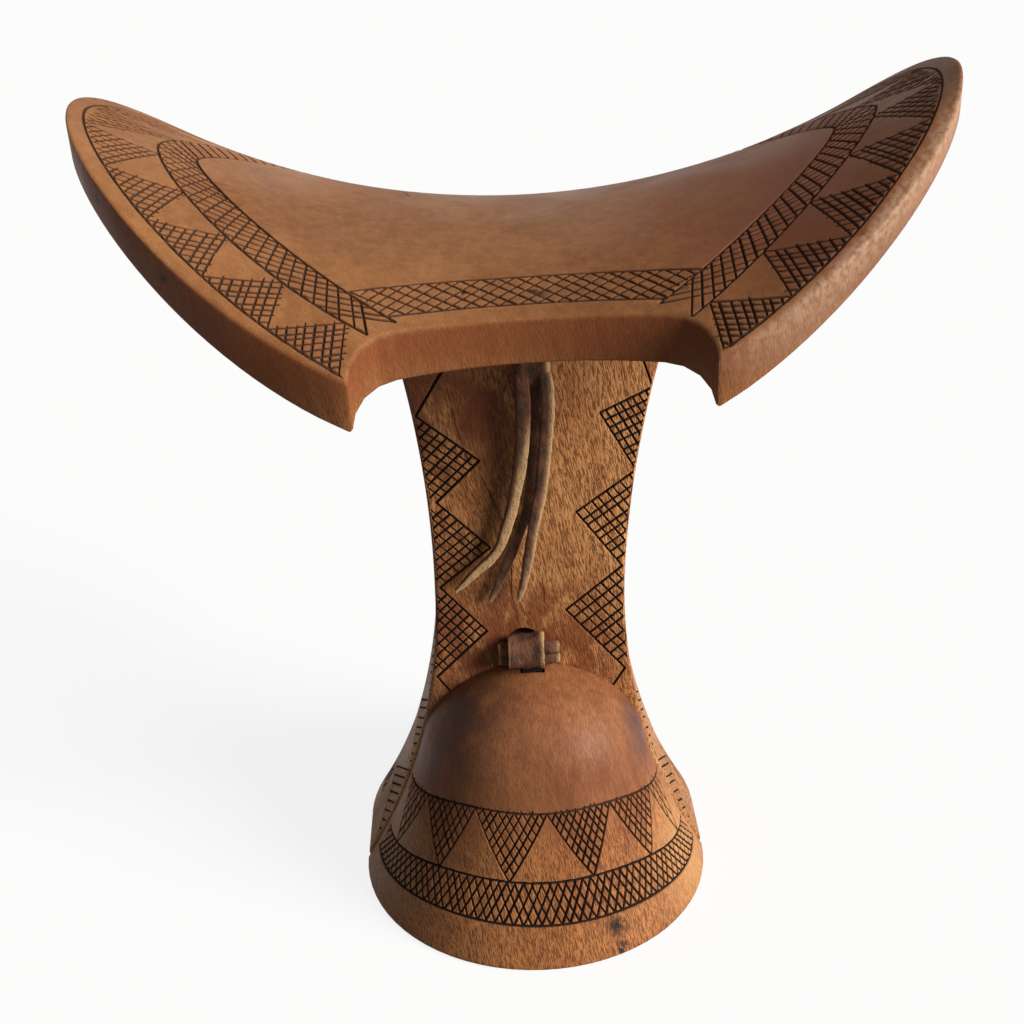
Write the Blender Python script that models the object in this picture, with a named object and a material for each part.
"""Carved wooden headrest with two hinged half-bell lids and leather thongs.

The seat, the column and the slab foot are one carved block. A hollow half-bell lid leans against each face of
the slab and swings out on a leather band that is looped over a rolled toggle. A second thong hangs from a hole
under the seat in three free tails.

Frame: metres, +Z up, +X to the right, the front looks along -Y, origin in the middle of the slab's foot.
"""
from math import asin, atan2, cos, hypot, pi, radians, sin, sqrt

import bmesh
import bpy
from mathutils import Matrix, Vector

# Seat
SEAT_LENGTH = 0.1722
SEAT_OVAL_DEPTH = 0.1152
SEAT_MID_DEPTH = 0.0788
SEAT_CORNER_SPACING = 0.0646
SEAT_NOTCH_RADIUS = 0.011
SEAT_HEIGHT = 0.1617
SEAT_DISH_RADIUS = 0.1540
SEAT_ARCH_RADIUS = 0.0935
SEAT_MID_THICKNESS = 0.009
SEAT_CORNER_THICKNESS = 0.0102
SEAT_TIP_THICKNESS = 0.0073
SEAT_EDGE_RADIUS = 0.0013
SEAT_OFFSET = -0.0004
SEAT_LEAN = radians(0.95)
# How much the slope from front to back changes along the seat, in each metre
SEAT_TWIST = 0.32

# Column and slab foot, one board that widens up and down from its waist
SLAB_THICKNESS = 0.017
WAIST_WIDTH = 0.0430
WAIST_HEIGHT = 0.078
FOOT_WIDTH = 0.086
NECK_WIDTH = 0.054
NECK_HEIGHT = 0.131
NECK_OFFSET = 0.0009
FOOT_CORNER_RADIUS = 0.003
SLAB_EDGE_CHAMFER = 0.0007
COLUMN_TOP_COVER = 0.0025

# Lids
LID_DEPTH = 0.0398
LID_APEX_HEIGHT = 0.0575
LID_SHOULDER_HEIGHT = 0.038
LID_DOME_RISE = 0.024
LID_EDGE_STEP = 0.0006
LID_WALL = 0.0065
LID_ROOF = 0.0078
LID_FLOOR = 0.007
LID_RIM_RADIUS = 0.0008

# Leather hinge
HINGE_OFFSET = -0.0016
HINGE_HOLE_DIAMETER = 0.0076
HINGE_HOLE_HEIGHT = 0.0632
BAND_WIDTH = 0.0076
BAND_THICKNESS = 0.0015
BAND_KNOT_LENGTH = 0.0046
BAND_KNOT_DEPTH = 0.0046
TOGGLE_LENGTH = 0.0140
TOGGLE_HEIGHT = 0.0060
TOGGLE_DEPTH = 0.0034
TOGGLE_DROP = 0.0016
TOGGLE_STAND_OFF = 0.0007
TOGGLE_OFFSET = -0.0006
# Where the band leaves its hole, as an angle round the toggle
BAND_FIRST_ANGLE = radians(50.0)

# Upper thong
THONG_OFFSET = 0.0013
THONG_HOLE_DIAMETER = 0.0090
THONG_HOLE_HEIGHT = 0.1360
THONG_WIDTH = 0.0074
THONG_THICKNESS = 0.0036
THONG_NOSE = 0.0050
THONG_NOSE_DROP = 0.0044
STOP_KNOT_DIAMETER = 0.0115
STOP_KNOT_LENGTH = 0.0060
TAIL_DIAMETER = 0.0021

# Clearance between pieces that touch
GAP = 0.0003
# Length by which a cutter passes the face that it cuts through
OVERCUT = 0.004

# The free tails: where each runs down the column, as (x, y, z) from its start under the thong to its cut end
TAIL_ROUTES = {
    "thong_tail_left": [
        (-0.0011, -0.0120, 0.1313), (-0.0008, -0.0121, 0.1212), (-0.0012, -0.0120, 0.1143),
        (-0.0026, -0.0118, 0.1045), (-0.0046, -0.0116, 0.0962), (-0.0073, -0.0114, 0.0888),
        (-0.0120, -0.0112, 0.0837), (-0.0166, -0.0110, 0.0789)],
    "thong_tail_middle": [
        (0.0013, -0.0108, 0.1313), (0.0016, -0.0103, 0.1211), (0.0012, -0.0100, 0.1088),
        (-0.0002, -0.0100, 0.0988), (-0.0032, -0.0100, 0.0898), (-0.0064, -0.0102, 0.0817),
        (-0.0090, -0.0104, 0.0758)],
    "thong_tail_right": [
        (0.0039, -0.0122, 0.1313), (0.0043, -0.0124, 0.1247), (0.0036, -0.0124, 0.1130),
        (0.0026, -0.0124, 0.1043), (0.0009, -0.0123, 0.0954), (-0.0002, -0.0120, 0.0879),
        (-0.0013, -0.0116, 0.0815), (-0.0027, -0.0112, 0.0762)],
}
TAIL_POINT_SPACING = 2.5 * TAIL_DIAMETER

# How finely curves are cut into facets
DOME_STEPS = 8
FLARE_STEPS = 8
LID_ARC_STEPS = 22
WING_STEPS = 11
NOTCH_STEPS = 5
RECESS_STEPS = 3
SEAT_ACROSS = (0.0, 0.35, 0.68)
# The last sections stand just short of where the wing and the dome close
WING_LAST_ANGLE = radians(87.0)
DOME_LAST_ANGLE = radians(85.0)
ROUND_SIDES = 20
BAND_ARC_STEPS = 9
ROUTE_STEPS = 16
BISECTION_STEPS = 40

SLAB_FACE = SLAB_THICKNESS / 2
LID_BACK = SLAB_FACE + GAP


def clear_scene():
    """Removes every object, so that the model starts from nothing."""
    for item in list(bpy.data.objects):
        bpy.data.objects.remove(item, do_unlink=True)


def make_material(name, colour, roughness):
    """Returns a plain material with the given base colour and roughness."""
    material = bpy.data.materials.new(name)
    material.use_nodes = True
    shader = material.node_tree.nodes["Principled BSDF"]
    shader.inputs["Base Color"].default_value = (*colour, 1.0)
    shader.inputs["Roughness"].default_value = roughness
    shader.inputs["Metallic"].default_value = 0.0
    return material


def add_object(name, bm, material, smooth_angle=radians(32.0)):
    """Turns a bmesh into a named object with smooth faces and sharp edges."""
    bmesh.ops.recalc_face_normals(bm, faces=bm.faces)
    mesh = bpy.data.meshes.new(name)
    bm.to_mesh(mesh)
    bm.free()
    mesh.shade_smooth()
    mesh.set_sharp_from_angle(angle=smooth_angle)
    mesh.materials.append(material)
    item = bpy.data.objects.new(name, mesh)
    bpy.context.scene.collection.objects.link(item)
    return item


def hide_tool(item):
    """Marks an object as a tool that only shapes other pieces."""
    item.hide_render = True
    item.display_type = "WIRE"


def combine(item, tool, operation):
    """Adds a Boolean of the given operation and hides its tool."""
    modifier = item.modifiers.new(tool.name, "BOOLEAN")
    modifier.operation = operation
    modifier.solver = "EXACT"
    modifier.object = tool
    hide_tool(tool)


def loft(sections):
    """Extrudes the first section's face from section to section and returns the closed bmesh."""
    bm = bmesh.new()
    ring = [bm.verts.new(point) for point in sections[0]]
    cap = first = bm.faces.new(ring)
    for section in sections[1:]:
        made = bmesh.ops.extrude_face_region(bm, geom=[cap])["geom"]
        if cap is not first:
            bmesh.ops.delete(bm, geom=[cap], context="FACES_ONLY")
        cap = next(part for part in made if isinstance(part, bmesh.types.BMFace))
        copies = {vert.co.to_tuple(): vert for vert in cap.verts}
        ring = [copies[vert.co.to_tuple()] for vert in ring]
        for vert, point in zip(ring, section):
            vert.co = point
    return bm


def extrude_outline(points, vector):
    """Extrudes a flat outline along a vector and returns the closed bmesh."""
    bm = bmesh.new()
    face = bm.faces.new([bm.verts.new(point) for point in points])
    made = bmesh.ops.extrude_face_region(bm, geom=[face])["geom"]
    moved = [part for part in made if isinstance(part, bmesh.types.BMVert)]
    bmesh.ops.translate(bm, verts=moved, vec=vector)
    return bm


def cylinder_along_y(name, diameter, length, centre, material):
    """Returns a round bar along Y, used to drill holes."""
    bm = bmesh.new()
    turn = Matrix.Translation(centre) @ Matrix.Rotation(pi / 2, 4, "X")
    bmesh.ops.create_cone(
        bm, cap_ends=True, segments=ROUND_SIDES, radius1=diameter / 2, radius2=diameter / 2, depth=length,
        matrix=turn)
    return add_object(name, bm, material)


def arc_bow(radius, reach):
    """How far an arc of the given radius falls back over a reach from its crown."""
    return radius - sqrt(radius * radius - reach * reach)


def seat_top(u, v):
    """Height of the seat's top: dished along its length, arched from front to back."""
    return SEAT_HEIGHT + arc_bow(SEAT_DISH_RADIUS, u) - arc_bow(SEAT_ARCH_RADIUS, v)


def seat_thickness(u):
    """Thickness of the seat: thin in the middle, thickest at the corners, thin again at the tips."""
    corner = SEAT_CORNER_SPACING / 2
    reach = abs(u)
    if reach <= corner:
        return SEAT_MID_THICKNESS + (SEAT_CORNER_THICKNESS - SEAT_MID_THICKNESS) * (reach / corner) ** 2
    share = (reach - corner) / (SEAT_LENGTH / 2 - corner)
    return SEAT_CORNER_THICKNESS + (SEAT_TIP_THICKNESS - SEAT_CORNER_THICKNESS) * share ** 2


def seat_stations():
    """Half-depth of the seat at stations along its right half, as (u, half-depth) from the middle out."""
    half_length = SEAT_LENGTH / 2
    half_oval = SEAT_OVAL_DEPTH / 2
    corner = SEAT_CORNER_SPACING / 2
    corner_depth = half_oval * sqrt(1 - (corner / half_length) ** 2)
    # The recessed edge is an arc that runs into the round notch without a kink
    notch_u = corner - SEAT_NOTCH_RADIUS
    inset = corner_depth - SEAT_MID_DEPTH / 2
    recess_radius = (
        (notch_u ** 2 + inset ** 2 - SEAT_NOTCH_RADIUS ** 2) / (2 * (inset - SEAT_NOTCH_RADIUS)))
    join = atan2(notch_u, recess_radius - inset)
    stations = []
    for step in range(RECESS_STEPS):
        angle = join * step / RECESS_STEPS
        stations.append((recess_radius * sin(angle), SEAT_MID_DEPTH / 2 + recess_radius * (1 - cos(angle))))
    for step in range(NOTCH_STEPS + 1):
        angle = join + (pi / 2 - join) * step / NOTCH_STEPS
        stations.append((notch_u + SEAT_NOTCH_RADIUS * sin(angle), corner_depth - SEAT_NOTCH_RADIUS * cos(angle)))
    first = asin(corner / half_length)
    for step in range(1, WING_STEPS + 1):
        angle = first + (WING_LAST_ANGLE - first) * step / WING_STEPS
        stations.append((half_length * sin(angle), half_oval * cos(angle)))
    return stations


def seat_section(u, half_depth):
    """One closed section of the seat across its length, with rounded edges and the twist of the hand-cut block."""
    thickness = seat_thickness(u)
    edge = min(SEAT_EDGE_RADIUS, half_depth / 3)
    flat = half_depth - edge
    across = [flat * part for part in SEAT_ACROSS] + [flat]
    right = [(v, seat_top(u, v)) for v in across]
    brim = seat_top(u, half_depth)
    edge_points = [(half_depth, brim - edge), (half_depth, brim - thickness + edge)]
    below = [(v, seat_top(u, v) - thickness) for v in reversed(across)]
    half = right + edge_points + below
    mirrored = [(-v, z) for v, z in reversed(half) if v > 0]
    return [(u, v, z - SEAT_TWIST * u * v) for v, z in half + mirrored]


def build_seat(material):
    """The dished oval seat with its recessed front and rear edges, leaned as it was carved."""
    right = seat_stations()
    stations = [(-u, depth) for u, depth in reversed(right[1:])] + right
    bm = loft([seat_section(u, depth) for u, depth in stations])
    pivot = Vector((0.0, 0.0, SEAT_HEIGHT))
    bmesh.ops.rotate(bm, verts=bm.verts, cent=pivot, matrix=Matrix.Rotation(-SEAT_LEAN, 3, "Y"))
    bmesh.ops.translate(bm, verts=bm.verts, vec=(SEAT_OFFSET, 0.0, 0.0))
    return add_object("headrest_body", bm, material)


def flare_radius(rise, widening):
    """Radius of the arc that leaves the waist upright and widens by the given amount over a rise."""
    return (rise * rise + widening * widening) / (2 * widening)


def slab_half_width(z):
    """Half-width of the column and slab at a height."""
    if z >= WAIST_HEIGHT:
        radius = flare_radius(NECK_HEIGHT - WAIST_HEIGHT, (NECK_WIDTH - WAIST_WIDTH) / 2)
    else:
        radius = flare_radius(WAIST_HEIGHT, (FOOT_WIDTH - WAIST_WIDTH) / 2)
    return WAIST_WIDTH / 2 + arc_bow(radius, abs(z - WAIST_HEIGHT))


def neck_shift(z):
    """How far the column's middle has wandered to the right at a height above the waist."""
    return NECK_OFFSET * max(0.0, z - WAIST_HEIGHT) / (NECK_HEIGHT - WAIST_HEIGHT)


def build_column(material):
    """The board that is the column above and the slab foot below, between its two flat faces."""
    top = SEAT_HEIGHT - COLUMN_TOP_COVER
    corner = FOOT_CORNER_RADIUS
    right = [(slab_half_width(0.0) - corner, 0.0), (slab_half_width(corner / 3) - corner / 3, corner / 3)]
    lower = WAIST_HEIGHT - corner
    right += [(slab_half_width(z), z) for z in (corner + lower * step / FLARE_STEPS for step in range(FLARE_STEPS))]
    upper = top - WAIST_HEIGHT
    right += [(slab_half_width(z), z) for z in
              (WAIST_HEIGHT + upper * step / FLARE_STEPS for step in range(FLARE_STEPS + 1))]
    outline = right + [(-x, z) for x, z in reversed(right)]
    outline = [(x + neck_shift(z), -SLAB_FACE, z) for x, z in outline]
    bm = extrude_outline(outline, (0.0, SLAB_THICKNESS, 0.0))
    rims = [edge for edge in bm.edges if abs(edge.verts[0].co.y - edge.verts[1].co.y) < SLAB_FACE]
    bmesh.ops.bevel(
        bm, geom=rims, offset=SLAB_EDGE_CHAMFER, segments=1, affect="EDGES", profile=0.5, clamp_overlap=True)
    return add_object("column_form", bm, material)


def build_body(material):
    """The carved block: seat, column and slab foot, with the two thong holes drilled through."""
    body = build_seat(material)
    combine(body, build_column(material), "UNION")
    drill = SLAB_THICKNESS + 2 * OVERCUT
    hinge_centre = (HINGE_OFFSET, 0.0, HINGE_HOLE_HEIGHT)
    combine(body, cylinder_along_y("hinge_drill", HINGE_HOLE_DIAMETER, drill, hinge_centre, material), "DIFFERENCE")
    thong_centre = (THONG_OFFSET, 0.0, THONG_HOLE_HEIGHT)
    combine(body, cylinder_along_y("thong_drill", THONG_HOLE_DIAMETER, drill, thong_centre, material), "DIFFERENCE")
    return body


def lid_half_width(z, wall, roof):
    """Half-width of the bell at a height, drawn in by a wall at the sides and a roof at the top."""
    shoulder = LID_SHOULDER_HEIGHT
    if z <= shoulder:
        return slab_half_width(z) - LID_EDGE_STEP - wall
    start = 1 - (LID_APEX_HEIGHT - shoulder) / LID_DOME_RISE
    apex = LID_APEX_HEIGHT - roof
    climb = start + (1 - start) * (z - shoulder) / (apex - shoulder)
    side = lid_half_width(shoulder, wall, roof)
    return side * sqrt(max(0.0, (1 - climb * climb) / (1 - start * start)))


def lid_heights(low, roof):
    """Heights of the bell's sections, close together where the dome closes."""
    shoulder = LID_SHOULDER_HEIGHT
    apex = LID_APEX_HEIGHT - roof
    flare = [low + (shoulder - low) * step / FLARE_STEPS for step in range(FLARE_STEPS)]
    dome = [shoulder + (apex - shoulder) * sin(DOME_LAST_ANGLE * step / DOME_STEPS) for step in range(DOME_STEPS + 1)]
    return flare + dome


def half_bell(low, wall, roof, back):
    """Sections of a half-bell whose flat side stands at the given distance behind the lid's back face."""
    sections = []
    for z in lid_heights(low, roof):
        width = lid_half_width(z, wall, roof)
        if wall == 0.0 and z == low:
            # The foot edge is rounded off up to the rim's full width
            sections.append(bell_arc(width - LID_RIM_RADIUS, z))
            z = LID_RIM_RADIUS
            width = lid_half_width(z, wall, roof)
        section = bell_arc(width, z)
        if back > 0.0:
            section += [(-width, -LID_BACK + back, z), (width, -LID_BACK + back, z)]
        sections.append(section)
    return sections


def lid_squash():
    """How deep the bell is for its half-width."""
    return LID_DEPTH / lid_half_width(0.0, 0.0, 0.0)


def bell_arc(width, z):
    """The round side of the bell at a height, from its right edge to its left one."""
    angles = [pi * step / LID_ARC_STEPS for step in range(LID_ARC_STEPS + 1)]
    return [(width * cos(a), -LID_BACK - width * lid_squash() * sin(a), z) for a in angles]


def toggle_centre():
    """Place of the front toggle in Y and Z."""
    y = -SLAB_FACE - TOGGLE_STAND_OFF - TOGGLE_DEPTH / 2
    return y, HINGE_HOLE_HEIGHT - TOGGLE_DROP


def band_path():
    """The front band's middle line in Y and Z, with its half-thickness at each point.

    It leaves the slab's hole, goes over the toggle, drops into the lid's slot and ends in a knot inside the lid.
    """
    y, z = toggle_centre()
    half = BAND_THICKNESS / 2
    reach = TOGGLE_DEPTH / 2 + GAP + half
    rise = TOGGLE_HEIGHT / 2 + GAP + half
    points = []
    for step in range(BAND_ARC_STEPS + 1):
        angle = BAND_FIRST_ANGLE + (pi - BAND_FIRST_ANGLE) * step / BAND_ARC_STEPS
        points.append((y + reach * cos(angle), z + rise * sin(angle), half))
    front = y - reach
    roof = cavity_roof(front)
    knot_top = roof - 2 * GAP
    points.append((front, knot_top + half, half))
    points.append((front, knot_top, BAND_KNOT_DEPTH / 3))
    points.append((front, knot_top - BAND_KNOT_LENGTH / 4, BAND_KNOT_DEPTH / 2))
    points.append((front, knot_top - BAND_KNOT_LENGTH * 3 / 4, BAND_KNOT_DEPTH / 2))
    points.append((front, knot_top - BAND_KNOT_LENGTH, BAND_KNOT_DEPTH / 3))
    return points


def cavity_roof(y):
    """Height of the lid's hollow over the knot, a knot's half-depth in front of the band."""
    reach = hypot((-LID_BACK - y + BAND_KNOT_DEPTH / 2) / lid_squash(), BAND_WIDTH / 2)
    low = LID_SHOULDER_HEIGHT
    high = LID_APEX_HEIGHT - LID_ROOF
    for _ in range(BISECTION_STEPS):
        middle = (low + high) / 2
        if lid_half_width(middle, LID_WALL, LID_ROOF) > reach:
            low = middle
        else:
            high = middle
    return low


def build_lid(name, material):
    """A hollow half-bell, open at its flat back, with a slot through its crown for the hinge band."""
    lid = add_object(name, loft(half_bell(0.0, 0.0, 0.0, 0.0)), material)
    hollow = add_object(name + "_hollow", loft(half_bell(LID_FLOOR, LID_WALL, LID_ROOF, OVERCUT)), material)
    combine(lid, hollow, "DIFFERENCE")
    front = band_path()[BAND_ARC_STEPS][0]
    top = LID_APEX_HEIGHT + OVERCUT
    bottom = cavity_roof(front) - OVERCUT
    bm = bmesh.new()
    bmesh.ops.create_cube(bm, size=1.0)
    size = (BAND_WIDTH + 2 * GAP, BAND_THICKNESS + 2 * GAP, top - bottom)
    bmesh.ops.scale(bm, vec=size, verts=bm.verts)
    bmesh.ops.translate(bm, vec=(HINGE_OFFSET, front, (top + bottom) / 2), verts=bm.verts)
    combine(lid, add_object(name + "_slot", bm, material), "DIFFERENCE")
    return lid


def strip_outline(path):
    """Closed outline of a strip in Y and Z along a path of (y, z, half-thickness) points."""
    left = []
    right = []
    for index, (y, z, half) in enumerate(path):
        before = path[max(index - 1, 0)]
        after = path[min(index + 1, len(path) - 1)]
        along = Vector((after[0] - before[0], after[1] - before[1])).normalized()
        left.append((y - along.y * half, z + along.x * half))
        right.append((y + along.y * half, z - along.x * half))
    return left + right[::-1]


def build_band(name, material):
    """The leather band that is looped over the toggle and knotted inside the lid."""
    start = HINGE_OFFSET - BAND_WIDTH / 2
    outline = [(start, y, z) for y, z in strip_outline(band_path())]
    return add_object(name, extrude_outline(outline, (BAND_WIDTH, 0.0, 0.0)), material)


def build_toggle(name, material):
    """The rolled leather peg, oval in section, that the band goes over."""
    y, z = toggle_centre()
    start = TOGGLE_OFFSET - TOGGLE_LENGTH / 2
    ring = [2 * pi * step / ROUND_SIDES for step in range(ROUND_SIDES)]
    outline = [(start, y + TOGGLE_DEPTH / 2 * cos(a), z + TOGGLE_HEIGHT / 2 * sin(a)) for a in ring]
    return add_object(name, extrude_outline(outline, (TOGGLE_LENGTH, 0.0, 0.0)), material)


def hinge_axis_height():
    """The leather bends at the upper lip of its hole, so the lids turn about that lip."""
    return HINGE_HOLE_HEIGHT + HINGE_HOLE_DIAMETER / 2


def build_hinge_thong(material):
    """The strip through the slab that joins the two bands."""
    offset = TOGGLE_DROP / 2
    chord = sqrt((HINGE_HOLE_DIAMETER / 2) ** 2 - (offset + BAND_THICKNESS / 2) ** 2) - GAP
    bm = bmesh.new()
    bmesh.ops.create_cube(bm, size=1.0)
    bmesh.ops.scale(bm, vec=(2 * chord, SLAB_THICKNESS, BAND_THICKNESS), verts=bm.verts)
    bmesh.ops.translate(bm, vec=(HINGE_OFFSET, 0.0, HINGE_HOLE_HEIGHT + offset), verts=bm.verts)
    return add_object("hinge_thong", bm, material)


def thong_nose_bottom():
    """Height of the flat end of the upper thong, where the tails begin."""
    return THONG_HOLE_HEIGHT - THONG_NOSE_DROP


def build_upper_thong(material):
    """The leather that fills the upper hole and turns down over the column's face."""
    half = THONG_THICKNESS / 2
    face = -SLAB_FACE - GAP
    front = -SLAB_FACE - THONG_NOSE
    top = THONG_HOLE_HEIGHT + half
    bottom = THONG_HOLE_HEIGHT - half
    bend = top - (face - front)
    outline = [(SLAB_FACE, bottom), (SLAB_FACE, top), (face, top)]
    for step in range(1, BAND_ARC_STEPS + 1):
        angle = pi / 2 * step / BAND_ARC_STEPS
        outline.append((face - (face - front) * sin(angle), bend + (top - bend) * cos(angle)))
    outline += [(front, thong_nose_bottom()), (face, thong_nose_bottom()), (face, bottom)]
    start = THONG_OFFSET - THONG_WIDTH / 2
    bm = extrude_outline([(start, y, z) for y, z in outline], (THONG_WIDTH, 0.0, 0.0))
    return add_object("upper_thong", bm, material)


def build_stop_knot(material):
    """The knot behind the column that keeps the upper thong from pulling through."""
    centre = Vector((THONG_OFFSET, SLAB_FACE + GAP + STOP_KNOT_LENGTH / 2, THONG_HOLE_HEIGHT))
    bm = bmesh.new()
    bmesh.ops.create_uvsphere(bm, u_segments=ROUND_SIDES, v_segments=ROUND_SIDES // 2, radius=0.5)
    squash = (STOP_KNOT_DIAMETER, STOP_KNOT_LENGTH, STOP_KNOT_DIAMETER)
    bmesh.ops.rotate(bm, verts=bm.verts, matrix=Matrix.Rotation(pi / 2, 3, "X"))
    bmesh.ops.scale(bm, vec=squash, verts=bm.verts)
    bmesh.ops.translate(bm, vec=centre, verts=bm.verts)
    return add_object("thong_stop_knot", bm, material)


def smooth_route(points, spacing):
    """Points at an even spacing along a smooth curve through the route's own points."""
    places = [Vector(point) for point in points]
    fine = []
    for index in range(len(places) - 1):
        p0 = places[max(index - 1, 0)]
        p1 = places[index]
        p2 = places[index + 1]
        p3 = places[min(index + 2, len(places) - 1)]
        for step in range(ROUTE_STEPS):
            t = step / ROUTE_STEPS
            fine.append(0.5 * (2 * p1 + (p2 - p0) * t + (2 * p0 - 5 * p1 + 4 * p2 - p3) * t * t
                               + (3 * p1 - p0 - 3 * p2 + p3) * t ** 3))
    fine.append(places[-1])
    route = [fine[0]]
    for place in fine[1:-1]:
        if (place - route[-1]).length >= spacing and (places[-1] - place).length >= spacing / 2:
            route.append(place)
    return route + [places[-1]]


def build_tail(name, points, material):
    """One free leather tail, a cord along its route with flat ends."""
    start = Vector((points[0][0], points[0][1], thong_nose_bottom() - GAP))
    route = smooth_route([start] + points[1:], TAIL_POINT_SPACING)
    curve = bpy.data.curves.new(name, "CURVE")
    curve.dimensions = "3D"
    curve.bevel_depth = TAIL_DIAMETER / 2
    curve.bevel_resolution = 2
    curve.use_fill_caps = True
    spline = curve.splines.new("POLY")
    spline.points.add(len(route) - 1)
    for place, point in zip(route, spline.points):
        point.co = (*place, 1.0)
    curve.materials.append(material)
    item = bpy.data.objects.new(name, curve)
    bpy.context.scene.collection.objects.link(item)
    return item


def hang_on_hinge(name, pieces, turn):
    """Parents a lid's pieces to an empty on its hinge line; the rear set is turned half round."""
    empty = bpy.data.objects.new(name, None)
    bpy.context.scene.collection.objects.link(empty)
    line = Vector((0.0, -SLAB_FACE, hinge_axis_height()))
    for piece in pieces:
        if piece.type == "MESH":
            piece.data.transform(Matrix.Translation(-line))
        piece.parent = empty
    empty.location = Matrix.Rotation(turn, 3, "Z") @ line
    empty.rotation_euler = (0.0, 0.0, turn)


def build_lid_set(side, turn, wood, leather):
    """A lid with its band and toggle, on its hinge line."""
    lid = build_lid(side + "_lid", wood)
    tools = [modifier.object for modifier in lid.modifiers]
    band = build_band(side + "_hinge_band", leather)
    toggle = build_toggle(side + "_hinge_toggle", leather)
    hang_on_hinge(side + "_lid_hinge_line", [lid, band, toggle] + tools, turn)


def main():
    """Builds every piece of the headrest."""
    clear_scene()
    wood = make_material("oiled_wood", (0.30, 0.13, 0.05), 0.5)
    lid_wood = make_material("worn_lid_wood", (0.26, 0.11, 0.05), 0.55)
    leather = make_material("old_leather", (0.12, 0.08, 0.055), 0.8)
    build_body(wood)
    build_lid_set("front", 0.0, lid_wood, leather)
    build_lid_set("rear", pi, lid_wood, leather)
    build_hinge_thong(leather)
    build_upper_thong(leather)
    build_stop_knot(leather)
    for name, points in TAIL_ROUTES.items():
        build_tail(name, points, leather)


main()
